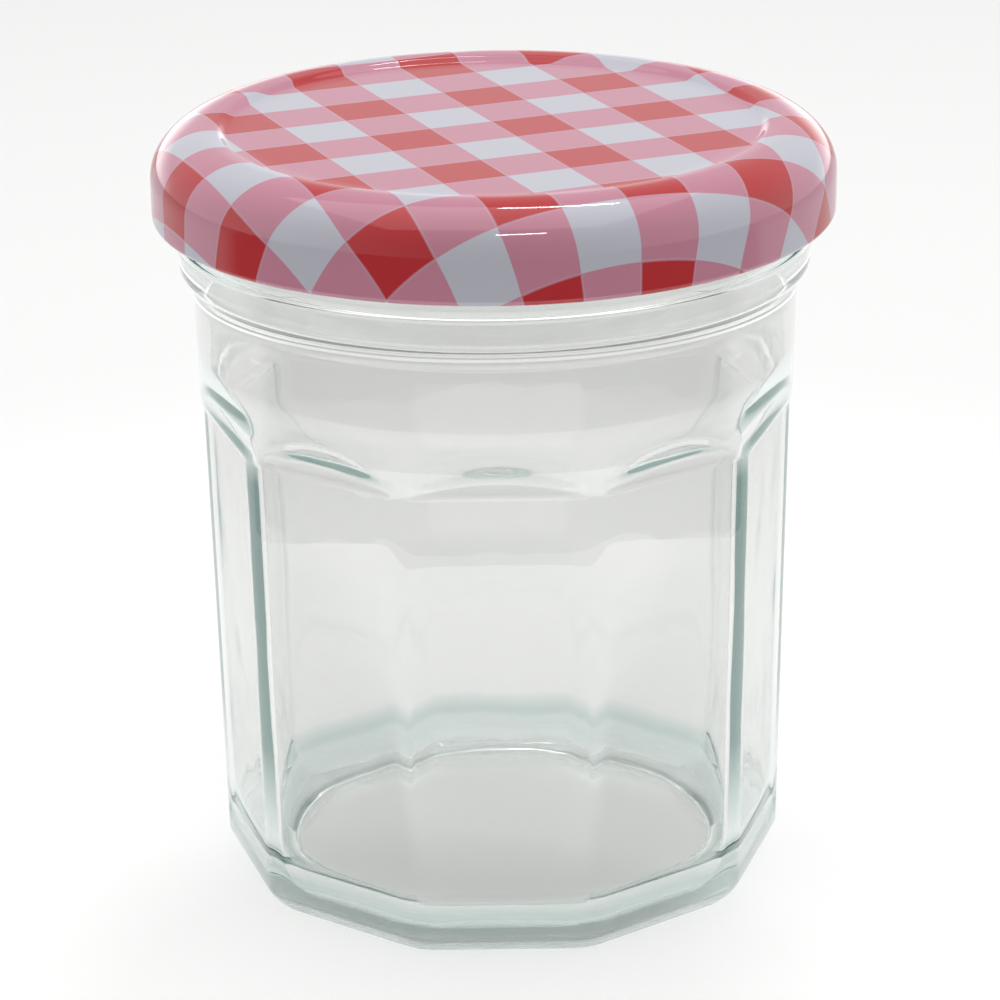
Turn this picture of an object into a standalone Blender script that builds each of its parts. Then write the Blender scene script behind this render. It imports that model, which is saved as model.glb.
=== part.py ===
# A ten-sided clear glass jam jar with its printed steel twist-off lid closed.
# Metres, +Z up. The jar stands on z = 0 round the z axis, with one flat side facing -Y.
import math

import bmesh
import bpy

MM = 0.001

# Glass, outside
FACETS = 10
HALF_FACET = math.pi / FACETS
CONTACT_DISTANCE = 31.4 * MM  # axis to a flat side where the heel meets the table
HEEL_DISTANCE = 34.8 * MM  # the same at the top of the heel
SHOULDER_DISTANCE = 35.84 * MM  # the same at the foot of the arches
HEEL_HEIGHT = 3.4 * MM
HEEL_POWER = 1.4  # 1 is a flat chamfer, 2 a quarter round
ARCH_FOOT = 61.4 * MM  # where the flat sides start to run out
ARCH_BLEND = 1.0 * MM
ARCH_SLOPE = 0.68
CORNER_CUT = 0.3 * MM  # how much the rounding takes off a sharp corner
EDGE_SOFTNESS = 0.2 * MM
BAND_START = 66.0 * MM
BAND_LOW_RADIUS = 37.7 * MM
BAND_TOP = 77.6 * MM
BAND_RADIUS = 37.95 * MM
BEAD_LOW = 81.4 * MM
BEAD_LOW_RADIUS = 39.5 * MM
BEAD_TOP = 85.1 * MM
BEAD_RADIUS = 39.8 * MM
BEAD_EDGE = 0.5 * MM
NECK_RADIUS = 38.8 * MM
RIM_TOP = 98.0 * MM

# Glass, underside and inside
BEARING_RADIUS = 27.9 * MM  # inner edge of the flat ring it stands on
RECESS_RADIUS = 26.7 * MM
RECESS_DEPTH = 0.9 * MM
WALL = 2.4 * MM  # at the middle of a flat side
INNER_CUT = 0.28 * MM  # how far the inside corners are filled
INNER_SOFTNESS = 0.4 * MM
FLARE_START = 61.0 * MM  # the inside widens from flat sides to the round mouth
FLARE_TOP = 71.0 * MM
MOUTH_SIDE = 37.4 * MM
MOUTH_RADIUS = 36.2 * MM
FLOOR_HEIGHT = 2.0 * MM
FLOOR_CROWN = 0.5 * MM
FLOOR_FILLET = 8.0 * MM

# Lid
PANEL_HEIGHT = 98.05 * MM  # top of the flat centre
SHEET = 0.35 * MM
PANEL_RADIUS = 33.0 * MM
RING_FOOT_RADIUS = 34.6 * MM
RING_RISE = 0.85 * MM
CREST_RADIUS = 35.8 * MM
LID_RADIUS = 42.75 * MM
SHOULDER_DROP = 5.2 * MM  # panel down to where the skirt is upright
LID_BOTTOM = 87.65 * MM
CURL_RADIUS = 0.8 * MM

# Columns across one flat side, in degrees from its middle, closer at the corners
FACET_COLUMNS = (-18.0, -16.2, -12.0, -6.0, 0.0, 6.0, 12.0, 16.2)
LID_COLUMNS = 80
ARC_STEPS = 5


def clear_scene():
    for obj in list(bpy.data.objects):
        bpy.data.objects.remove(obj, do_unlink=True)


def mix(low, high, share):
    return low + (high - low) * share


def smooth_share(value, start, end):
    share = min(max((value - start) / (end - start), 0.0), 1.0)
    return share * share * (3.0 - 2.0 * share)


def soft_min(first, second, softness):
    return 0.5 * (first + second - math.sqrt((first - second) ** 2 + softness ** 2))


def arc(center_r, center_z, radius, start, end, steps=ARC_STEPS):
    """Points (r, z) along an arc, angles in degrees from the +r direction."""
    angles = [math.radians(mix(start, end, i / steps)) for i in range(steps + 1)]
    return [(center_r + radius * math.cos(a), center_z + radius * math.sin(a)) for a in angles]


def flat_side_distance(z):
    """Axis to a flat side at height z, before the arches."""
    if z < HEEL_HEIGHT:
        drop = 1.0 - z / HEEL_HEIGHT
        share = (1.0 - drop ** HEEL_POWER) ** (1.0 / HEEL_POWER)
        return mix(CONTACT_DISTANCE, HEEL_DISTANCE, share)
    return mix(HEEL_DISTANCE, SHOULDER_DISTANCE, (z - HEEL_HEIGHT) / (ARCH_FOOT - HEEL_HEIGHT))


def arch_run_out(z):
    """How far a flat side has moved out at height z, which ends it in an arch."""
    rise = z - ARCH_FOOT
    if rise <= 0.0:
        return 0.0
    if rise < ARCH_BLEND:
        return ARCH_SLOPE * rise * rise / (2.0 * ARCH_BLEND)
    return ARCH_SLOPE * (rise - ARCH_BLEND / 2.0)


def round_limit(z):
    """Radius that cuts the corners of the flat sides and carries on as the plain band."""
    corner = flat_side_distance(min(z, ARCH_FOOT)) / math.cos(HALF_FACET) - CORNER_CUT
    band = mix(BAND_LOW_RADIUS, BAND_RADIUS, (z - BAND_START) / (BAND_TOP - BAND_START))
    return mix(corner, band, smooth_share(z, ARCH_FOOT, BAND_START))


def outer_radius(angle, z):
    side = (flat_side_distance(z) + arch_run_out(z)) / math.cos(angle)
    return soft_min(round_limit(z), side, EDGE_SOFTNESS)


def inner_radius(angle, z):
    flat = flat_side_distance(min(max(z, HEEL_HEIGHT), ARCH_FOOT)) - WALL
    flare = smooth_share(z, FLARE_START, FLARE_TOP)
    side = mix(flat, MOUTH_SIDE, flare) / math.cos(angle)
    round_wall = mix(flat / math.cos(HALF_FACET) - INNER_CUT, MOUTH_RADIUS, flare)
    wall = soft_min(round_wall, side, INNER_SOFTNESS)
    up = z - FLOOR_HEIGHT
    if up < FLOOR_FILLET:
        wall += math.sqrt(FLOOR_FILLET ** 2 - (FLOOR_FILLET - up) ** 2) - FLOOR_FILLET
    return wall


def jar_angles():
    """Pairs of the angle round the axis and the angle from the nearest flat side's middle."""
    pairs = []
    for side in range(FACETS):
        middle = -math.pi / 2.0 + side * 2.0 * HALF_FACET
        pairs += [(middle + math.radians(c), math.radians(c)) for c in FACET_COLUMNS]
    return pairs


def shaped_ring(radius_at, z):
    return [(math.cos(a) * radius_at(c, z), math.sin(a) * radius_at(c, z), z) for a, c in jar_angles()]


def round_ring(angles, radius, z):
    return [(math.cos(a) * radius, math.sin(a) * radius, z) for a in angles]


def loft(name, rings, start_point, end_point):
    """A closed mesh through rings of equal length, with a fan to a point at each end."""
    mesh = bpy.data.meshes.new(name)
    bm = bmesh.new()
    rows = [[bm.verts.new(p) for p in ring] for ring in rings]
    count = len(rings[0])
    for low, high in zip(rows, rows[1:]):
        for i in range(count):
            j = (i + 1) % count
            bm.faces.new((low[i], low[j], high[j], high[i]))
    for row, point, backwards in ((rows[0], start_point, True), (rows[-1], end_point, False)):
        tip = bm.verts.new(point)
        for i in range(count):
            pair = (row[i], row[(i + 1) % count])
            bm.faces.new((*(reversed(pair) if backwards else pair), tip))
    bmesh.ops.recalc_face_normals(bm, faces=bm.faces)
    bm.to_mesh(mesh)
    bm.free()
    mesh.shade_smooth()
    mesh.set_sharp_from_angle(angle=math.radians(32.0))
    obj = bpy.data.objects.new(name, mesh)
    bpy.context.scene.collection.objects.link(obj)
    return obj


def give_material(obj, name, color, roughness, metallic, transmission=0.0):
    material = bpy.data.materials.new(name)
    material.use_nodes = True
    shader = material.node_tree.nodes["Principled BSDF"]
    shader.inputs["Base Color"].default_value = (*color, 1.0)
    shader.inputs["Roughness"].default_value = roughness
    shader.inputs["Metallic"].default_value = metallic
    shader.inputs["Transmission Weight"].default_value = transmission
    obj.data.materials.append(material)


def jar_rings():
    """From the middle of the underside, up the outside, over the rim and down to the floor."""
    angles = [a for a, _ in jar_angles()]

    # Underside, with a shallow recess inside the flat ring it stands on
    rings = [round_ring(angles, RECESS_RADIUS * share, RECESS_DEPTH) for share in (0.5, 1.0)]
    rings.append(round_ring(angles, BEARING_RADIUS, 0.0))

    # Heel and flat sides
    heel = [HEEL_HEIGHT * share for share in (0.0, 0.06, 0.2, 0.42, 0.7, 1.0)]
    sides = [mix(HEEL_HEIGHT, ARCH_FOOT, share) for share in (0.35, 0.7, 1.0)]
    arches = [mix(ARCH_FOOT, BAND_START, step / 9.0) for step in range(1, 10)]
    rings += [shaped_ring(outer_radius, z) for z in heel + sides + arches + [BAND_TOP]]

    # Bead under the lid, neck and rim
    for share in (0.35, 0.7):
        radius = mix(BAND_RADIUS, BEAD_LOW_RADIUS, share * share)
        rings.append(round_ring(angles, radius, mix(BAND_TOP, BEAD_LOW, share)))
    rim_radius = (NECK_RADIUS - MOUTH_RADIUS) / 2.0
    profile = [(BEAD_LOW_RADIUS, BEAD_LOW)]
    profile += arc(BEAD_RADIUS - BEAD_EDGE, BEAD_TOP - BEAD_EDGE, BEAD_EDGE, 0.0, 90.0, 3)
    profile.append((NECK_RADIUS, BEAD_TOP))
    profile += arc(NECK_RADIUS - rim_radius, RIM_TOP - rim_radius, rim_radius, 0.0, 180.0, 6)
    rings += [round_ring(angles, r, z) for r, z in profile]

    # Inside wall and the fillet down to the floor
    inside = [mix(FLARE_TOP, FLARE_START, step / 9.0) for step in range(10)]
    inside += [mix(FLOOR_HEIGHT + FLOOR_FILLET, FLARE_START, share) for share in (0.66, 0.33, 0.0)]
    drops = [math.radians(15.0 * step) for step in range(1, 7)]
    inside += [FLOOR_HEIGHT + FLOOR_FILLET * (1.0 - math.sin(d)) for d in drops]
    rings += [shaped_ring(inner_radius, z) for z in inside]
    return rings


def make_jar():
    floor_middle = (0.0, 0.0, FLOOR_HEIGHT + FLOOR_CROWN)
    jar = loft("jar", jar_rings(), (0.0, 0.0, RECESS_DEPTH), floor_middle)
    give_material(jar, "clear_glass", (0.86, 0.93, 0.91), 0.02, 0.0, 1.0)
    return jar


def lid_profile():
    """(r, z) down the outside of the pressed sheet, round the curl and up the inside."""
    crest = PANEL_HEIGHT + RING_RISE
    side_height = PANEL_HEIGHT - SHOULDER_DROP
    across = LID_RADIUS - CREST_RADIUS
    down = crest - side_height
    turns = [math.radians(90.0 - 11.25 * step) for step in range(9)]
    outside = [
        (PANEL_RADIUS * 0.5, PANEL_HEIGHT),
        (PANEL_RADIUS, PANEL_HEIGHT),
        (mix(PANEL_RADIUS, RING_FOOT_RADIUS, 0.5), PANEL_HEIGHT + RING_RISE * 0.45),
        (RING_FOOT_RADIUS, PANEL_HEIGHT + RING_RISE * 0.88),
    ]
    outside += [(CREST_RADIUS + across * math.cos(t), side_height + down * math.sin(t)) for t in turns]
    curl_middle = (LID_RADIUS - CURL_RADIUS, LID_BOTTOM + CURL_RADIUS)
    curl = arc(*curl_middle, CURL_RADIUS, 0.0, -225.0, 8)
    inside = [(LID_RADIUS - SHEET, LID_BOTTOM + 2.0 * CURL_RADIUS + SHEET)]
    across -= SHEET
    down -= SHEET
    for t in reversed(turns):
        inside.append((CREST_RADIUS + across * math.cos(t), side_height + down * math.sin(t)))
    inside += [
        (RING_FOOT_RADIUS, PANEL_HEIGHT + RING_RISE * 0.88 - SHEET),
        (PANEL_RADIUS + SHEET, PANEL_HEIGHT - SHEET),
        (PANEL_RADIUS * 0.5, PANEL_HEIGHT - SHEET),
    ]
    return outside + curl + inside


def make_lid():
    angles = [2.0 * math.pi * i / LID_COLUMNS for i in range(LID_COLUMNS)]
    rings = [round_ring(angles, r, z) for r, z in lid_profile()]
    lid = loft("lid", rings, (0.0, 0.0, PANEL_HEIGHT), (0.0, 0.0, PANEL_HEIGHT - SHEET))
    give_material(lid, "printed_steel", (0.74, 0.30, 0.34), 0.25, 0.0)
    return lid


clear_scene()
make_jar()
make_lid()
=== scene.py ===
# Looks for the lidded jam jar: clear pressed glass and a printed steel lid, on a pale table.
import math

import bmesh
import bpy
from mathutils import Matrix, Vector


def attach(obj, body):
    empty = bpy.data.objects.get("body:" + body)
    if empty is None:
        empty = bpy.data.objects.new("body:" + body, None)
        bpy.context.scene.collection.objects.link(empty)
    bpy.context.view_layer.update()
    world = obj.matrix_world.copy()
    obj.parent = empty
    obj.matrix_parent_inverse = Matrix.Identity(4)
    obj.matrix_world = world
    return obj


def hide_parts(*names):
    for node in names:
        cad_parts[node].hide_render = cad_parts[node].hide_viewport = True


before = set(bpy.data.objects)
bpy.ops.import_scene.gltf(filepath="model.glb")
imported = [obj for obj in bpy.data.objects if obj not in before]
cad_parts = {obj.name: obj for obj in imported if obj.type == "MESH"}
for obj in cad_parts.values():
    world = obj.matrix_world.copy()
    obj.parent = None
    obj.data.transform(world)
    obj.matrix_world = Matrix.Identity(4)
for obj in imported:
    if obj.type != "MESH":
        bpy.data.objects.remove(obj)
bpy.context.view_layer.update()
mm = 0.001
print("frame loaded:", sorted(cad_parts))


def calc(tree, operation, *values):
    node = tree.nodes.new("ShaderNodeMath")
    node.operation = operation
    for socket, value in zip(node.inputs, values):
        feed(tree, socket, value)
    return node.outputs[0]


def feed(tree, socket, value):
    if isinstance(value, bpy.types.NodeSocket):
        tree.links.new(value, socket)
    else:
        socket.default_value = value


def mixBetween(low, high, share):
    return low + (high - low) * share


def smoothShare(value, start, end):
    share = min(max((value - start) / (end - start), 0.0), 1.0)
    return share * share * (3.0 - 2.0 * share)


def steps(start, end, count):
    return [mixBetween(start, end, i / count) for i in range(count + 1)]


def arcPoints(centreR, centreZ, radius, startDeg, endDeg, count):
    angles = [math.radians(a) for a in steps(startDeg, endDeg, count)]
    return [(centreR + radius * math.cos(a), centreZ + radius * math.sin(a)) for a in angles]


# one tree turns a profile round the z axis and presses flat sides into it
turnedInputs = (
    ("Columns", "NodeSocketInt", 240),
    ("Sides", "NodeSocketInt", 10),
    ("Corner Crowding", "NodeSocketFloat", 0.7),
    ("Wave Size", "NodeSocketFloat", 60.0),
    ("Wave Seed", "NodeSocketFloat", 3.0),
    ("Weld Distance", "NodeSocketFloat", 0.002 * mm),
    ("Main Finish", "NodeSocketMaterial", None),
    ("Second Finish", "NodeSocketMaterial", None),
)


def buildTurnedTree():
    tree = bpy.data.node_groups.new("turnedPiece", "GeometryNodeTree")
    face = tree.interface
    face.new_socket("Profile", in_out="INPUT", socket_type="NodeSocketGeometry")
    for label, kind, value in turnedInputs:
        socket = face.new_socket(label, in_out="INPUT", socket_type=kind)
        if value is not None:
            socket.default_value = value
    face.new_socket("Piece", in_out="OUTPUT", socket_type="NodeSocketGeometry")
    ins = tree.nodes.new("NodeGroupInput").outputs
    link = tree.links.new

    # a grid with one row for each point of the profile
    size = tree.nodes.new("GeometryNodeAttributeDomainSize")
    link(ins["Profile"], size.inputs["Geometry"])
    rowCount = size.outputs["Point Count"]
    grid = tree.nodes.new("GeometryNodeMeshGrid")
    link(calc(tree, "ADD", ins["Columns"], 1.0), grid.inputs["Vertices X"])
    link(rowCount, grid.inputs["Vertices Y"])
    index = tree.nodes.new("GeometryNodeInputIndex").outputs[0]
    column = calc(tree, "FLOOR", calc(tree, "DIVIDE", calc(tree, "ADD", index, 0.5), rowCount))
    row = calc(tree, "SUBTRACT", index, calc(tree, "MULTIPLY", column, rowCount))

    def fromProfile(kind, field):
        sample = tree.nodes.new("GeometryNodeSampleIndex")
        sample.data_type = kind
        link(ins["Profile"], sample.inputs["Geometry"])
        link(field, sample.inputs["Value"])
        link(row, sample.inputs["Index"])
        return sample.outputs["Value"]

    def profileValue(name):
        named = tree.nodes.new("GeometryNodeInputNamedAttribute")
        named.data_type = "FLOAT"
        named.inputs["Name"].default_value = name
        return fromProfile("FLOAT", named.outputs["Attribute"])

    place = tree.nodes.new("ShaderNodeSeparateXYZ")
    position = tree.nodes.new("GeometryNodeInputPosition").outputs[0]
    link(fromProfile("FLOAT_VECTOR", position), place.inputs[0])
    limit, height = place.outputs["X"], place.outputs["Z"]
    flatSide, softness = profileValue("flatSide"), profileValue("softness")
    wave, blank, finish = profileValue("wave"), profileValue("blank"), profileValue("finish")

    # the angle round the axis, with columns crowded towards the corners
    halfSide = calc(tree, "DIVIDE", math.pi, ins["Sides"])
    turn = calc(tree, "MULTIPLY", calc(tree, "DIVIDE", column, ins["Columns"]), ins["Sides"])
    side = calc(tree, "FLOOR", turn)
    across = calc(tree, "MULTIPLY_ADD", calc(tree, "SUBTRACT", turn, side), 2.0, -1.0)
    bowed = calc(tree, "SINE", calc(tree, "MULTIPLY", across, math.pi / 2.0))
    even = calc(tree, "MULTIPLY", across, calc(tree, "SUBTRACT", 1.0, ins["Corner Crowding"]))
    local = calc(tree, "MULTIPLY_ADD", bowed, ins["Corner Crowding"], even)
    local = calc(tree, "MULTIPLY", local, halfSide)
    middle = calc(tree, "MULTIPLY", calc(tree, "MULTIPLY", side, 2.0), halfSide)
    angle = calc(tree, "SUBTRACT", calc(tree, "ADD", middle, local), math.pi / 2.0)

    # radius: the softer minimum of the round limit and the flat side
    pressed = calc(tree, "DIVIDE", flatSide, calc(tree, "COSINE", local))
    gap = calc(tree, "SUBTRACT", limit, pressed)
    spread = calc(tree, "SQRT", calc(tree, "ADD", calc(tree, "MULTIPLY", gap, gap),
                                     calc(tree, "MULTIPLY", softness, softness)))
    radius = calc(tree, "MULTIPLY", calc(tree, "SUBTRACT", calc(tree, "ADD", limit, pressed), spread), 0.5)

    # slow waves in the wall, as pressed glass has
    cosine, sine = calc(tree, "COSINE", angle), calc(tree, "SINE", angle)
    here = tree.nodes.new("ShaderNodeCombineXYZ")
    for socket, value in zip(here.inputs, (cosine, sine)):
        link(calc(tree, "MULTIPLY", calc(tree, "MULTIPLY", radius, value), ins["Wave Size"]), socket)
    tall = calc(tree, "MULTIPLY", ins["Wave Size"], 0.6)  # waves run longer up the wall than round it
    link(calc(tree, "MULTIPLY_ADD", height, tall, ins["Wave Seed"]), here.inputs["Z"])
    noise = tree.nodes.new("ShaderNodeTexNoise")
    noise.inputs["Scale"].default_value = 1.0
    noise.inputs["Detail"].default_value = 2.0
    link(here.outputs[0], noise.inputs["Vector"])
    swell = calc(tree, "MULTIPLY", calc(tree, "MULTIPLY_ADD", noise.outputs[0], 2.0, -1.0), wave)
    radius = calc(tree, "ADD", radius, swell)

    shaped = tree.nodes.new("ShaderNodeCombineXYZ")
    link(calc(tree, "MULTIPLY", radius, cosine), shaped.inputs["X"])
    link(calc(tree, "MULTIPLY", radius, sine), shaped.inputs["Y"])
    link(height, shaped.inputs["Z"])
    move = tree.nodes.new("GeometryNodeSetPosition")
    link(grid.outputs["Mesh"], move.inputs["Geometry"])
    link(shaped.outputs[0], move.inputs["Position"])

    # where each point lay on the flat sheet before it was pressed
    flat = tree.nodes.new("ShaderNodeCombineXYZ")
    link(calc(tree, "MULTIPLY", blank, cosine), flat.inputs["X"])
    link(calc(tree, "MULTIPLY", blank, sine), flat.inputs["Y"])

    def keep(geometry, name, kind, domain, value):
        store = tree.nodes.new("GeometryNodeStoreNamedAttribute")
        store.data_type, store.domain = kind, domain
        store.inputs["Name"].default_value = name
        link(geometry, store.inputs["Geometry"])
        link(value, store.inputs["Value"])
        return store.outputs["Geometry"]

    onPoints = tree.nodes.new("GeometryNodeFieldOnDomain")
    onPoints.data_type = "FLOAT_VECTOR"
    onPoints.domain = "POINT"
    link(flat.outputs[0], onPoints.inputs["Value"])
    result = keep(move.outputs["Geometry"], "flatBlank", "FLOAT2", "CORNER", onPoints.outputs["Value"])
    result = keep(result, "finishShare", "FLOAT", "POINT", finish)
    weld = tree.nodes.new("GeometryNodeMergeByDistance")
    link(result, weld.inputs["Geometry"])
    link(ins["Weld Distance"], weld.inputs["Distance"])
    realize = tree.nodes.new("GeometryNodeRealizeInstances")
    link(weld.outputs["Geometry"], realize.inputs["Geometry"])
    outer = tree.nodes.new("GeometryNodeSetMaterial")
    link(realize.outputs["Geometry"], outer.inputs["Geometry"])
    link(ins["Main Finish"], outer.inputs["Material"])
    share = tree.nodes.new("GeometryNodeInputNamedAttribute")
    share.data_type = "FLOAT"
    share.inputs["Name"].default_value = "finishShare"
    inner = tree.nodes.new("GeometryNodeSetMaterial")
    link(outer.outputs["Geometry"], inner.inputs["Geometry"])
    link(calc(tree, "GREATER_THAN", share.outputs["Attribute"], 0.5), inner.inputs["Selection"])
    link(ins["Second Finish"], inner.inputs["Material"])
    link(inner.outputs["Geometry"], tree.nodes.new("NodeGroupOutput").inputs["Piece"])
    return tree


rowKeys = ("flatSide", "softness", "wave", "blank", "finish")


def row(radius, height, flatSide=1.0, softness=0.0, wave=0.0, finish=0.0):
    return {"r": radius, "z": height, "flatSide": flatSide, "softness": softness,
            "wave": wave, "finish": finish, "blank": 0.0}


def turnPiece(name, rows, tree, values):
    mesh = bpy.data.meshes.new(name + "Profile")
    mesh.from_pydata([(r["r"], 0.0, r["z"]) for r in rows], [(i, i + 1) for i in range(len(rows) - 1)], [])
    for key in rowKeys:
        mesh.attributes.new(key, "FLOAT", "POINT").data.foreach_set("value", [r[key] for r in rows])
    holder = bpy.data.objects.new(name + "Profile", mesh)
    bpy.context.scene.collection.objects.link(holder)
    modifier = holder.modifiers.new("turned", "NODES")
    modifier.node_group = tree
    for item in tree.interface.items_tree:
        if item.item_type == "SOCKET" and item.in_out == "INPUT" and item.name in values:
            modifier[item.identifier] = values[item.name]
    bpy.context.view_layer.update()
    shaped = bpy.data.meshes.new_from_object(holder.evaluated_get(bpy.context.evaluated_depsgraph_get()))
    bpy.data.objects.remove(holder)
    shaped.name = name
    bm = bmesh.new()
    bm.from_mesh(shaped)
    bmesh.ops.recalc_face_normals(bm, faces=bm.faces)
    bm.to_mesh(shaped)
    bm.free()
    shaped.shade_smooth()
    piece = bpy.data.objects.new(name, shaped)
    bpy.context.scene.collection.objects.link(piece)
    print(f"{name}: {len(rows)} rows, {len(shaped.polygons)} faces")
    return piece


def newMaterial(name):
    material = bpy.data.materials.new(name)
    material.use_nodes = True
    return material, material.node_tree, material.node_tree.nodes["Principled BSDF"]


def mixColour(tree, factor, first, second):
    node = tree.nodes.new("ShaderNodeMix")
    node.data_type = "RGBA"
    feed(tree, node.inputs["Factor"], factor)
    feed(tree, node.inputs["A"], first if isinstance(first, bpy.types.NodeSocket) else (*first, 1.0))
    feed(tree, node.inputs["B"], second if isinstance(second, bpy.types.NodeSocket) else (*second, 1.0))
    return node.outputs["Result"]


glassLook = {
    "roughness": 0.0,
    "ior": 1.52,
    "body": (0.845, 0.848, 0.838),
    "absorbColour": (0.20, 0.50, 0.47),
    "absorbDensity": 6.5,  # per metre
    "shadowTint": (0.995, 0.995, 0.992),
    "trappedShadeTint": (0.27, 0.37, 0.345),  # painted shade, dark green, for light trapped in an edge
    "paleTrappedShadeTint": (0.90, 0.95, 0.935),  # the painted shade made pale near the table and in the neck
    "baseTop": (6.0 * mm, 20.0 * mm),  # heights where the pale painted shade gives way to the dark one
    "neckFoot": (56.0 * mm, 61.0 * mm),  # and where it comes back
    "deepBounces": 2.5,
    "stipple": 0.7,  # roughness of the underside
    "heelLightTint": (0.94, 1.0, 0.985),  # painted light: the ring that the jar stands on is tinted lighter
    "heelTop": (0.3 * mm, 1.2 * mm),
    "heelReach": (27.2 * mm, 28.4 * mm),  # from the axis
    "wallFootShadeTint": (0.58, 0.68, 0.665),  # the foot of the wall tinted a darker green, partly the thick glass's own green and partly painted shade
    "wallFoot": (6.2 * mm, 7.4 * mm),
    "heelEdgeShadeTint": (0.80, 0.84, 0.828),  # painted shade: the rounded edge under it is tinted a little darker
    "edgeTop": (3.0 * mm, 4.0 * mm),
    "outside": (28.4 * mm, 29.2 * mm),  # only the outer face lies beyond this
    "rippleScale": 140.0,
    "rippleDetail": 1.5,
    "rippleStrength": 0.018,
    "rippleDepth": 0.3 * mm,
}


def makeGlassMaterial():
    material, tree, shader = newMaterial("clearGlass")
    look = glassLook
    finish = tree.nodes.new("ShaderNodeAttribute")
    finish.attribute_name = "finishShare"
    feed(tree, shader.inputs["Roughness"],
         calc(tree, "MULTIPLY_ADD", finish.outputs["Fac"], look["stipple"], look["roughness"]))
    shader.inputs["IOR"].default_value = look["ior"]
    shader.inputs["Transmission Weight"].default_value = 1.0
    output = tree.nodes["Material Output"]
    absorb = tree.nodes.new("ShaderNodeVolumeAbsorption")
    absorb.inputs["Color"].default_value = (*look["absorbColour"], 1.0)
    absorb.inputs["Density"].default_value = look["absorbDensity"]
    tree.links.new(absorb.outputs[0], output.inputs["Volume"])

    # fine ripples of a fire-polished surface
    coords = tree.nodes.new("ShaderNodeTexCoord")
    noise = tree.nodes.new("ShaderNodeTexNoise")
    noise.inputs["Scale"].default_value = look["rippleScale"]
    noise.inputs["Detail"].default_value = look["rippleDetail"]
    tree.links.new(coords.outputs["Object"], noise.inputs["Vector"])
    bump = tree.nodes.new("ShaderNodeBump")
    bump.inputs["Strength"].default_value = look["rippleStrength"]
    bump.inputs["Distance"].default_value = look["rippleDepth"]
    tree.links.new(noise.outputs[0], bump.inputs["Height"])
    tree.links.new(bump.outputs[0], shader.inputs["Normal"])

    # height and distance from the axis pick the tint: painted light on the standing ring, painted shade on
    # the foot of the wall and its rounded edge
    height = tree.nodes.new("ShaderNodeSeparateXYZ")
    tree.links.new(coords.outputs["Object"], height.inputs[0])
    flat = tree.nodes.new("ShaderNodeVectorMath")
    flat.operation = "MULTIPLY"
    flat.inputs[1].default_value = (1.0, 1.0, 0.0)
    tree.links.new(coords.outputs["Object"], flat.inputs[0])
    fromAxis = tree.nodes.new("ShaderNodeVectorMath")
    fromAxis.operation = "LENGTH"
    tree.links.new(flat.outputs["Vector"], fromAxis.inputs[0])
    z, radius = height.outputs["Z"], fromAxis.outputs["Value"]

    def zone(value, limits):
        ramp = tree.nodes.new("ShaderNodeMapRange")
        ramp.inputs["From Min"].default_value, ramp.inputs["From Max"].default_value = limits
        tree.links.new(value, ramp.inputs["Value"])
        return ramp.outputs["Result"]

    def ring(top, reach):
        below = calc(tree, "SUBTRACT", 1.0, zone(z, look[top]))
        return calc(tree, "MULTIPLY", below, zone(radius, look[reach]))

    body = mixColour(tree, ring("heelTop", "heelReach"), look["body"], look["heelLightTint"])
    body = mixColour(tree, ring("wallFoot", "outside"), body, look["wallFootShadeTint"])
    body = mixColour(tree, ring("edgeTop", "outside"), body, look["heelEdgeShadeTint"])
    tree.links.new(body, shader.inputs["Base Color"])

    # lamps and the table's light reach through the glass; light trapped in an edge comes out through a
    # painted shade tint, dark green at middle heights and pale near the table and in the neck
    path = tree.nodes.new("ShaderNodeLightPath")
    deep = calc(tree, "GREATER_THAN", path.outputs["Glossy Depth"], look["deepBounces"])
    middle = calc(tree, "SUBTRACT", zone(z, look["baseTop"]), zone(z, look["neckFoot"]))
    trappedShadeTint = mixColour(tree, middle, look["paleTrappedShadeTint"], look["trappedShadeTint"])
    lit = calc(tree, "MAXIMUM", path.outputs["Is Shadow Ray"], path.outputs["Is Diffuse Ray"])
    surface = shader.outputs[0]
    for share, tint in ((deep, trappedShadeTint), (lit, (*look["shadowTint"], 1.0))):
        through = tree.nodes.new("ShaderNodeBsdfTransparent")
        feed(tree, through.inputs["Color"], tint)
        mixer = tree.nodes.new("ShaderNodeMixShader")
        for socket, value in zip(mixer.inputs, (share, surface, through.outputs[0])):
            tree.links.new(value, socket)
        surface = mixer.outputs[0]
    tree.links.new(surface, output.inputs["Surface"])
    return material


printLook = {
    "cell": 8.17 * mm,  # one stripe of the gingham on the flat sheet
    "turnDeg": 67.46,
    "offset": (1.264, 0.920),  # in stripes
    "white": (0.485, 0.485, 0.55),
    "pink": (0.51, 0.20, 0.275),
    "red": (0.45, 0.003, 0.006),
    "edgeSoftness": 0.006,
    "trapWidth": 0.018,  # pale line where two inks meet
    "trapStrength": 0.30,
    "dotPitch": 0.29 * mm,
    "dotStrength": 0.05,
    "roughness": 0.45,
    "specular": 0.0,
    "coat": 0.85,
    "coatRoughness": 0.04,
}


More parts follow.
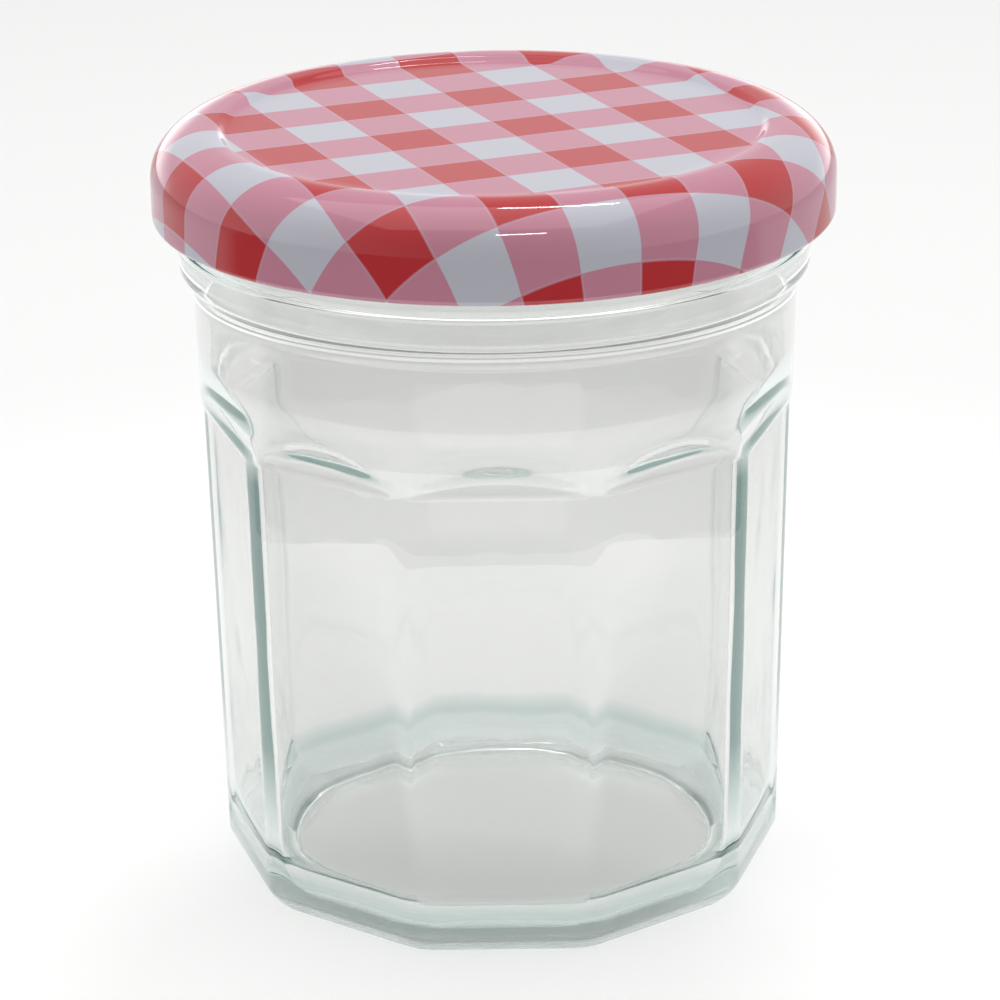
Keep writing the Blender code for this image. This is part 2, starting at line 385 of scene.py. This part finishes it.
def makePrintMaterial():
    material, tree, shader = newMaterial("printedGingham")
    look = printLook
    sheet = tree.nodes.new("ShaderNodeUVMap")
    sheet.uv_map = "flatBlank"
    mapping = tree.nodes.new("ShaderNodeMapping")
    mapping.inputs["Location"].default_value = (*look["offset"], 0.0)
    mapping.inputs["Rotation"].default_value = (0.0, 0.0, math.radians(look["turnDeg"]))
    mapping.inputs["Scale"].default_value = (1.0 / look["cell"], 1.0 / look["cell"], 1.0)
    tree.links.new(sheet.outputs[0], mapping.inputs["Vector"])
    split = tree.nodes.new("ShaderNodeSeparateXYZ")
    tree.links.new(mapping.outputs[0], split.inputs[0])
    stripes, edges = [], []
    for direction in ("X", "Y"):
        swing = calc(tree, "PINGPONG", calc(tree, "SUBTRACT", split.outputs[direction], 0.5), 1.0)
        ramp = tree.nodes.new("ShaderNodeMapRange")
        ramp.interpolation_type = "SMOOTHSTEP"
        ramp.inputs["From Min"].default_value = 0.5 - look["edgeSoftness"]
        ramp.inputs["From Max"].default_value = 0.5 + look["edgeSoftness"]
        tree.links.new(swing, ramp.inputs["Value"])
        stripes.append(ramp.outputs["Result"])
        away = calc(tree, "ABSOLUTE", calc(tree, "SUBTRACT", swing, 0.5))
        edges.append(calc(tree, "LESS_THAN", away, look["trapWidth"]))
    oneInk = calc(tree, "MAXIMUM", *stripes)
    twoInks = calc(tree, "MULTIPLY", *stripes)
    colour = mixColour(tree, oneInk, look["white"], look["pink"])
    colour = mixColour(tree, twoInks, colour, look["red"])

    # a pale hairline along each ink edge that meets the other ink
    trap = calc(tree, "MAXIMUM", calc(tree, "MULTIPLY", edges[0], stripes[1]),
                calc(tree, "MULTIPLY", edges[1], stripes[0]))
    trap = calc(tree, "MULTIPLY", trap, look["trapStrength"])
    colour = mixColour(tree, trap, colour, look["white"])

    # halftone dots, in the pink alone
    dots = []
    dotsPerStripe = 2.0 * math.pi * look["cell"] / look["dotPitch"]
    for direction in ("X", "Y"):
        wave = calc(tree, "MULTIPLY", split.outputs[direction], dotsPerStripe)
        dots.append(calc(tree, "SINE", wave))
    dot = calc(tree, "MULTIPLY", calc(tree, "MULTIPLY", *dots), calc(tree, "SUBTRACT", oneInk, twoInks))
    colour = mixColour(tree, calc(tree, "MULTIPLY_ADD", dot, look["dotStrength"], look["dotStrength"]),
                       colour, look["white"])
    tree.links.new(colour, shader.inputs["Base Color"])
    shader.inputs["Roughness"].default_value = look["roughness"]
    shader.inputs["Specular IOR Level"].default_value = look["specular"]
    shader.inputs["Coat Weight"].default_value = look["coat"]
    shader.inputs["Coat Roughness"].default_value = look["coatRoughness"]
    return material


lacquerLook = {
    "darker": (0.74, 0.74, 0.73),
    "lighter": (0.80, 0.80, 0.79),
    "mottleScale": 900.0,
    "roughness": 0.3,
    "coat": 0.5,
}


def makeLacquerMaterial():
    material, tree, shader = newMaterial("paleLacquer")
    look = lacquerLook
    coords = tree.nodes.new("ShaderNodeTexCoord")
    noise = tree.nodes.new("ShaderNodeTexNoise")
    noise.inputs["Scale"].default_value = look["mottleScale"]
    tree.links.new(coords.outputs["Object"], noise.inputs["Vector"])
    tree.links.new(mixColour(tree, noise.outputs[0], look["darker"], look["lighter"]),
                   shader.inputs["Base Color"])
    shader.inputs["Roughness"].default_value = look["roughness"]
    shader.inputs["Coat Weight"].default_value = look["coat"]
    return material


glass = {
    "sides": 10,
    "columns": 240,
    "cornerCrowding": 0.7,
    "waveSize": 60.0,
    "contactSide": 31.4 * mm,  # axis to a flat side
    "heelSide": 34.8 * mm,
    "shoulderSide": 35.84 * mm,
    "heelHeight": 3.4 * mm,
    "heelPower": 1.4,
    "archFoot": 61.4 * mm,
    "archBlend": 1.0 * mm,
    "archSlope": 0.68,
    "cornerCut": 0.3 * mm,
    "edgeSoftness": 0.2 * mm,
    "bandStart": 66.0 * mm,
    "bandLow": 37.7 * mm,
    "bandTop": 77.6 * mm,
    "band": 37.95 * mm,
    "beadLowZ": 81.4 * mm,
    "beadLow": 39.5 * mm,
    "beadTop": 85.1 * mm,
    "bead": 39.8 * mm,
    "beadEdge": 0.5 * mm,
    "beadShares": (0.1, 0.3, 0.6),  # rows between the shoulder and the bead
    "neck": 38.8 * mm,
    "neckCorner": 0.1 * mm,
    "rimTop": 98.0 * mm,
    "contactInset": 0.4 * mm,  # the flat ring stops this far short of the side
    "bearing": 27.9 * mm,
    "recess": 26.7 * mm,
    "recessDepth": 0.9 * mm,
    "wall": 2.4 * mm,
    "innerCut": 0.28 * mm,  # how far the inside corners are filled
    "innerSoftness": 0.4 * mm,
    "innerFlare": 61.0 * mm,  # the inside widens to the mouth between these heights
    "innerFlareTop": 71.0 * mm,
    "mouthSide": 37.4 * mm,
    "floor": 2.0 * mm,
    "floorCrown": 0.5 * mm,
    "floorFillet": 8.0 * mm,
    "finishFade": 3.4 * mm,  # the underside's rough finish fades up the heel
    "mouth": 36.2 * mm,
    "mouthStart": 84.0 * mm,
    "outerWave": 0.02 * mm,
    "outerWaveTop": 10.0 * mm,  # the outside's waves are full from this height up
    "innerWave": 0.14 * mm,
    "innerWaveRise": 12.0 * mm,
    "innerFade": (70.0 * mm, 84.0 * mm),  # waves and soft corners end between these heights
}

# how many rows of faces each stretch of the profile has
glassSteps = {
    "recess": 8,
    "recessSlope": 6,
    "ring": 4,
    "heel": 10,
    "flat": 34,
    "arch": 26,
    "band": 8,
    "shoulder": 10,
    "bead": 6,
    "neck": 4,
    "rim": 14,
    "mouth": 8,
    "flare": 26,
    "inside": 34,
    "fillet": 16,
    "floor": 10,
}
halfFacet = math.pi / glass["sides"]


def flatSideAt(z):
    g = glass
    if z < g["heelHeight"]:
        drop = 1.0 - z / g["heelHeight"]
        share = (1.0 - drop ** g["heelPower"]) ** (1.0 / g["heelPower"])
        return mixBetween(g["contactSide"], g["heelSide"], share)
    share = (z - g["heelHeight"]) / (g["archFoot"] - g["heelHeight"])
    return mixBetween(g["heelSide"], g["shoulderSide"], share)


def runOutAt(z):
    g = glass
    rise = max(z - g["archFoot"], 0.0)
    if rise < g["archBlend"]:
        return g["archSlope"] * rise * rise / (2.0 * g["archBlend"])
    return g["archSlope"] * (rise - g["archBlend"] / 2.0)


def roundLimitAt(z):
    g = glass
    corner = flatSideAt(min(z, g["archFoot"])) / math.cos(halfFacet) - g["cornerCut"]
    band = mixBetween(g["bandLow"], g["band"], (z - g["bandStart"]) / (g["bandTop"] - g["bandStart"]))
    return mixBetween(corner, band, smoothShare(z, g["archFoot"], g["bandStart"]))


def outerRow(z):
    g = glass
    wave = g["outerWave"] * smoothShare(z, 0.0, g["outerWaveTop"])
    finish = 1.0 - smoothShare(z, 0.0, g["finishFade"])
    return row(roundLimitAt(z), z, flatSideAt(z) + runOutAt(z), g["edgeSoftness"], wave, finish)


def innerRow(z):
    g = glass
    low = min(max(z, g["heelHeight"]), g["archFoot"])
    flat = flatSideAt(low) - g["wall"]
    flare = smoothShare(z, g["innerFlare"], g["innerFlareTop"])
    side = mixBetween(flat, g["mouthSide"], flare)
    limit = mixBetween(flat / math.cos(halfFacet) - g["innerCut"], g["mouth"], flare)
    up = z - g["floor"]
    tuck = 0.0
    if up < g["floorFillet"]:
        tuck = g["floorFillet"] - math.sqrt(g["floorFillet"] ** 2 - (g["floorFillet"] - up) ** 2)
    fade = 1.0 - smoothShare(z, *g["innerFade"])
    wave = g["innerWave"] * smoothShare(z, g["floor"], g["floor"] + g["innerWaveRise"]) * fade
    return row(limit - tuck, z, side - tuck, g["innerSoftness"] * fade, wave)


def undersideRows():
    g, count = glass, glassSteps
    rows = [row(r, g["recessDepth"], finish=1.0) for r in steps(0.0, g["recess"], count["recess"])]
    for share in steps(0.0, 1.0, count["recessSlope"])[1:]:
        height = g["recessDepth"] * (1.0 - smoothShare(share, 0.0, 1.0))
        rows.append(row(mixBetween(g["recess"], g["bearing"], share), height, finish=1.0 - share))
    ringEnd = g["contactSide"] - g["contactInset"]
    ring = ringEnd - g["bearing"]
    rows += [row(g["bearing"] + ring * s, 0.0, finish=s) for s in steps(0.0, 1.0, count["ring"])[1:-1]]
    rows.append(row(ringEnd, 0.0, finish=1.0))
    return rows


def outsideRows():
    g, count = glass, glassSteps
    heights = [g["heelHeight"] * s * s for s in steps(0.0, 1.0, count["heel"])]
    heights += steps(g["heelHeight"], g["archFoot"], count["flat"])[1:]
    heights += steps(g["archFoot"], g["bandStart"], count["arch"])[1:]
    heights += steps(g["bandStart"], g["bandTop"], count["band"])[1:]
    return [outerRow(z) for z in heights]


# the shoulder, the bead, the neck and the rim are round
def neckRows():
    g, count = glass, glassSteps
    points = [(mixBetween(g["band"], g["beadLow"], s * s), mixBetween(g["bandTop"], g["beadLowZ"], s))
              for s in steps(0.0, 1.0, count["shoulder"])[1:]]
    edge, edgeZ = g["beadEdge"], g["beadTop"] - g["beadEdge"]
    points += [(mixBetween(g["beadLow"], g["bead"], math.sqrt(s)), mixBetween(g["beadLowZ"], edgeZ, s))
               for s in g["beadShares"]]
    points += arcPoints(g["bead"] - edge, edgeZ, edge, 0.0, 90.0, count["bead"])
    corner = g["neckCorner"]
    points += [(g["neck"] + corner, g["beadTop"]), (g["neck"], g["beadTop"] + corner)]
    rim = (g["neck"] - g["mouth"]) / 2.0
    rimZ = g["rimTop"] - rim
    points += [(g["neck"], z) for z in steps(g["beadTop"] + mm, rimZ - mm, count["neck"])]
    points += arcPoints(g["neck"] - rim, rimZ, rim, 0.0, 180.0, count["rim"])
    points += [(g["mouth"], z) for z in steps(rimZ - mm, g["mouthStart"] + mm, count["neck"])]
    return [row(r, z) for r, z in points]


def insideRows():
    g, count = glass, glassSteps
    heights = steps(g["mouthStart"], g["innerFlareTop"], count["mouth"])
    heights += steps(g["innerFlareTop"], g["innerFlare"], count["flare"])[1:]
    heights += steps(g["innerFlare"], g["floor"] + g["floorFillet"], count["inside"])[1:]
    for turn in steps(0.0, 90.0, count["fillet"])[1:]:
        heights.append(g["floor"] + g["floorFillet"] * (1.0 - math.sin(math.radians(turn))))
    rows = [innerRow(z) for z in heights]
    last = rows[-1]
    for share in steps(1.0, 0.0, count["floor"])[1:]:
        crown = g["floorCrown"] * (1.0 - share * share)
        flat = mixBetween(1.0, last["flatSide"] * share, share ** 4)
        rows.append(row(last["r"] * share, g["floor"] + crown, flat, last["softness"] * share))
    return rows


def glassRows():
    return undersideRows() + outsideRows() + neckRows() + insideRows()


lid = {
    "sides": 8,
    "columns": 256,
    "panelZ": 98.05 * mm,
    "sheet": 0.35 * mm,
    "panel": 33.0 * mm,
    "ringFoot": 34.6 * mm,
    "ringRise": 0.85 * mm,
    "riseShare": 0.88,  # of that height at the foot of the crest
    "crest": 35.8 * mm,
    "radius": 42.75 * mm,
    "shoulderDrop": 5.2 * mm,
    "bottom": 87.65 * mm,
    "curl": 0.8 * mm,
    "curlTurn": -225.0,
    "curlPrinted": 3,  # steps of the curl that still carry the print
}

lidSteps = {
    "panel": 14,
    "ring": 8,
    "shoulder": 32,
    "skirt": 6,
    "curl": 18,
}


def lidRows():
    d, count = lid, lidSteps
    crestZ, sideZ = d["panelZ"] + d["ringRise"], d["panelZ"] - d["shoulderDrop"]

    def pressing(inset):
        points = [(r, d["panelZ"] - inset) for r in steps(0.0, d["panel"], count["panel"])]
        for share in steps(0.0, 1.0, count["ring"])[1:]:
            rise = d["ringRise"] * d["riseShare"] * smoothShare(share, 0.0, 1.0)
            points.append((mixBetween(d["panel"], d["ringFoot"], share) + inset * (1.0 - share),
                           d["panelZ"] - inset + rise))
        turns = [math.radians(a) for a in steps(90.0, 0.0, count["shoulder"])]
        points += [(d["crest"] + (d["radius"] - d["crest"] - inset) * math.cos(t),
                    sideZ + (crestZ - sideZ - inset) * math.sin(t)) for t in turns]
        return points

    outside = pressing(0.0)
    outside += [(d["radius"], z) for z in steps(sideZ, d["bottom"] + d["curl"], count["skirt"])[1:]]
    centre = (d["radius"] - d["curl"], d["bottom"] + d["curl"])
    curl = arcPoints(*centre, d["curl"], 0.0, d["curlTurn"], count["curl"])[1:]
    inside = [(d["radius"] - d["sheet"], d["bottom"] + 2.0 * d["curl"] + d["sheet"])]
    inside += reversed(pressing(d["sheet"]))
    rows = [row(r, z) for r, z in outside]
    rows += [row(r, z, finish=float(i > d["curlPrinted"])) for i, (r, z) in enumerate(curl)]
    rows += [row(r, z, finish=1.0) for r, z in inside]

    # the flat sheet keeps its area as it is drawn down
    area = 0.0
    for first, second in zip(rows, rows[1:]):
        slope = math.hypot(second["r"] - first["r"], second["z"] - first["z"])
        area += (first["r"] + second["r"]) * slope
        second["blank"] = math.sqrt(area)
    return rows


studio = {  # lengths in metres
    "table": (0.97, 0.97, 0.97),
    "tableBeyondLightPool": (0.84, 0.84, 0.84),
    "fade": (0.08, 0.22),  # distances where the painted pool of light round the jar gives way to the darker table
    "tableSize": (3.0, 2.4),
    "tableFront": -1.2,
    "tableHeight": -0.02 * mm,
    "tableRoughness": 0.7,
    "mirrorReach": 0.160,  # the painted shade of the dim room, on the table in front of the jar, begins here
    "room": (0.12, 0.12, 0.12),
    "roomSpread": (0.12, -0.05),  # it comes in over a few degrees at the sides
    "paintedGlowEdge": (-0.05, -0.065),  # painted light: a glowing patch on the table in front fades in here
    "paintedGlowStrength": 0.7,
    "backdrop": (1.0, 0.995, 0.99),
    "back": 0.72,  # how bright the surroundings are on each side
    "front": 0.38,
    "turnOver": 0.7,  # how far round one gives way to the other
    "sides": 0.77,
    "haze": 0.45,  # the lower part of the backdrop
    "hazeHeight": 0.3,
    "glow": 2.2,  # two bright panels low behind the table, left and right
    "glowHeight": 0.2,
    "glowAside": (0.05, 0.2),
    "glowGather": (3.0, -2.0),  # gathers haze and panels straight behind the jar
    "topPower": 3.0,
    "topSize": (0.9, 0.9),
    "topPlace": (0.0, 0.05, 0.9),
    "stripPower": 1.0,  # two narrow lamps, front and back overhead
    "stripSize": (0.24, 0.03),
    "stripPlaces": ((0.125, -0.62, 0.95), (0.125, 0.45, 0.95)),
    "stripAim": (0.0, 0.0, 0.09),
}


def makeTable():
    width, depth = studio["tableSize"]
    front = studio["tableFront"]
    mesh = bpy.data.meshes.new("table")
    left, right, back = -width / 2, width / 2, front + depth
    corners = [(left, front), (right, front), (right, back), (left, back)]
    mesh.from_pydata([(x, y, studio["tableHeight"]) for x, y in corners], [], [(0, 1, 2, 3)])
    table = bpy.data.objects.new("table", mesh)
    bpy.context.scene.collection.objects.link(table)
    material, tree, shader = newMaterial("paleTable")
    shader.inputs["Roughness"].default_value = studio["tableRoughness"]

    # painted light: the table is painted a little darker away from the jar, a pool of light round it; in
    # front of it the dim room is painted on as dark shade
    coords = tree.nodes.new("ShaderNodeTexCoord")
    flat = tree.nodes.new("ShaderNodeVectorMath")
    flat.operation = "LENGTH"
    tree.links.new(coords.outputs["Object"], flat.inputs[0])
    split = tree.nodes.new("ShaderNodeSeparateXYZ")
    tree.links.new(coords.outputs["Object"], split.inputs[0])
    away = tree.nodes.new("ShaderNodeMapRange")
    away.interpolation_type = "SMOOTHSTEP"
    away.inputs["From Min"].default_value, away.inputs["From Max"].default_value = studio["fade"]
    tree.links.new(flat.outputs["Value"], away.inputs["Value"])
    ahead = tree.nodes.new("ShaderNodeMapRange")
    ahead.interpolation_type = "SMOOTHSTEP"
    ahead.inputs["From Min"].default_value, ahead.inputs["From Max"].default_value = studio["roomSpread"]
    tree.links.new(calc(tree, "DIVIDE", split.outputs["Y"], flat.outputs["Value"]), ahead.inputs["Value"])
    # painted shade: beyond this reach, in front, the table is painted dark for the dim room
    beyond = calc(tree, "GREATER_THAN", flat.outputs["Value"], studio["mirrorReach"])
    beyond = calc(tree, "MULTIPLY", beyond, ahead.outputs["Result"])
    colour = mixColour(tree, away.outputs["Result"], studio["table"], studio["tableBeyondLightPool"])
    tree.links.new(mixColour(tree, beyond, colour, studio["room"]), shader.inputs["Base Color"])

    # painted light: the table itself glows in a patch in front of the picture, and the glass mirrors it
    glowPatch = tree.nodes.new("ShaderNodeMapRange")
    glowPatch.inputs["From Min"].default_value, glowPatch.inputs["From Max"].default_value = studio["paintedGlowEdge"]
    tree.links.new(split.outputs["Y"], glowPatch.inputs["Value"])
    glow = calc(tree, "MULTIPLY", glowPatch.outputs["Result"], studio["paintedGlowStrength"])
    glow = calc(tree, "MULTIPLY", glow, calc(tree, "SUBTRACT", 1.0, beyond))
    tree.links.new(glow, shader.inputs["Emission Strength"])
    shader.inputs["Emission Color"].default_value = (1.0, 1.0, 1.0, 1.0)
    mesh.materials.append(material)


def makeLight(name, place, target, size, power):
    data = bpy.data.lights.new(name, "AREA")
    data.shape = "RECTANGLE"
    data.size, data.size_y = size
    data.energy = power
    light = bpy.data.objects.new(name, data)
    light.location = place
    light.rotation_euler = (Vector(target) - Vector(place)).to_track_quat("-Z", "Y").to_euler()
    bpy.context.scene.collection.objects.link(light)


def makeWorld():
    world = bpy.data.worlds.new("studio")
    bpy.context.scene.world = world
    world.use_nodes = True
    tree = world.node_tree
    coords = tree.nodes.new("ShaderNodeTexCoord")
    split = tree.nodes.new("ShaderNodeSeparateXYZ")
    tree.links.new(coords.outputs["Generated"], split.inputs[0])
    ramp = tree.nodes.new("ShaderNodeMapRange")
    ramp.inputs["From Min"].default_value = -studio["turnOver"]
    ramp.inputs["From Max"].default_value = studio["turnOver"]
    ramp.inputs["To Min"].default_value = studio["front"]
    ramp.inputs["To Max"].default_value = studio["back"]
    tree.links.new(split.outputs["Y"], ramp.inputs["Value"])
    behind = calc(tree, "MULTIPLY_ADD", split.outputs["Y"], *studio["glowGather"])
    behind = calc(tree, "MAXIMUM", behind, 0.0)
    aside = tree.nodes.new("ShaderNodeMapRange")
    aside.inputs["From Min"].default_value, aside.inputs["From Max"].default_value = studio["glowAside"]
    tree.links.new(calc(tree, "ABSOLUTE", split.outputs["X"]), aside.inputs["Value"])

    def nearHorizon(height, strength):
        away = calc(tree, "DIVIDE", calc(tree, "ABSOLUTE", split.outputs["Z"]), height)
        low = calc(tree, "MAXIMUM", calc(tree, "SUBTRACT", 1.0, away), 0.0)
        return calc(tree, "MULTIPLY", calc(tree, "MULTIPLY", low, behind), strength)

    haze = nearHorizon(studio["hazeHeight"], studio["haze"])
    panels = nearHorizon(studio["glowHeight"], studio["glow"])
    glow = calc(tree, "ADD", haze, calc(tree, "MULTIPLY", panels, aside.outputs["Result"]))
    sides = calc(tree, "MULTIPLY", split.outputs["X"], split.outputs["X"])
    sides = calc(tree, "MULTIPLY", sides, studio["sides"])
    strength = calc(tree, "ADD", calc(tree, "ADD", ramp.outputs["Result"], glow), sides)
    background = tree.nodes["Background"]
    background.inputs["Color"].default_value = (*studio["backdrop"], 1.0)
    tree.links.new(strength, background.inputs["Strength"])


camera = {
    "place": (0.23 * mm, -463.4 * mm, 218.6 * mm),
    "pitchDeg": 20.16,
    "rollDeg": -0.805,
    "lens": 137.9,
    "sensor": 36.0,
    "clip": (0.01, 20.0),
}


def makeCamera():
    data = bpy.data.cameras.new("camera")
    data.lens = camera["lens"]
    data.sensor_width = camera["sensor"]
    data.clip_start, data.clip_end = camera["clip"]
    obj = bpy.data.objects.new("camera", data)
    tilt = Matrix.Rotation(math.radians(90.0 - camera["pitchDeg"]), 3, "X")
    roll = Matrix.Rotation(math.radians(camera["rollDeg"]), 3, "Z")
    obj.rotation_euler = (tilt @ roll).to_euler()
    obj.location = camera["place"]
    bpy.context.scene.collection.objects.link(obj)
    bpy.context.scene.camera = obj


def setUpStudio():
    makeTable()
    makeWorld()
    makeLight("topSoftbox", studio["topPlace"], (0, 0, 0), studio["topSize"], studio["topPower"])
    for i, place in enumerate(studio["stripPlaces"]):
        makeLight(f"strip.{i}", place, studio["stripAim"], studio["stripSize"], studio["stripPower"])
    makeCamera()
    scene = bpy.context.scene
    scene.view_settings.view_transform = "Standard"
    scene.view_settings.look = "None"
    print("studio ready")


setUpStudio()
turnedTree = buildTurnedTree()
glassMaterial = makeGlassMaterial()
printMaterial = makePrintMaterial()
lacquerMaterial = makeLacquerMaterial()

jarGlass = turnPiece("jarGlass", glassRows(), turnedTree, {
    "Columns": glass["columns"], "Sides": glass["sides"],
    "Corner Crowding": glass["cornerCrowding"], "Wave Size": glass["waveSize"],
    "Main Finish": glassMaterial, "Second Finish": glassMaterial})
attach(jarGlass, "root")
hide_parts("jar")

lidShell = turnPiece("lidShell", lidRows(), turnedTree, {
    "Columns": lid["columns"], "Sides": lid["sides"], "Corner Crowding": 0.0,
    "Main Finish": printMaterial, "Second Finish": lacquerMaterial})
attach(lidShell, "root")
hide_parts("lid")

print("done")
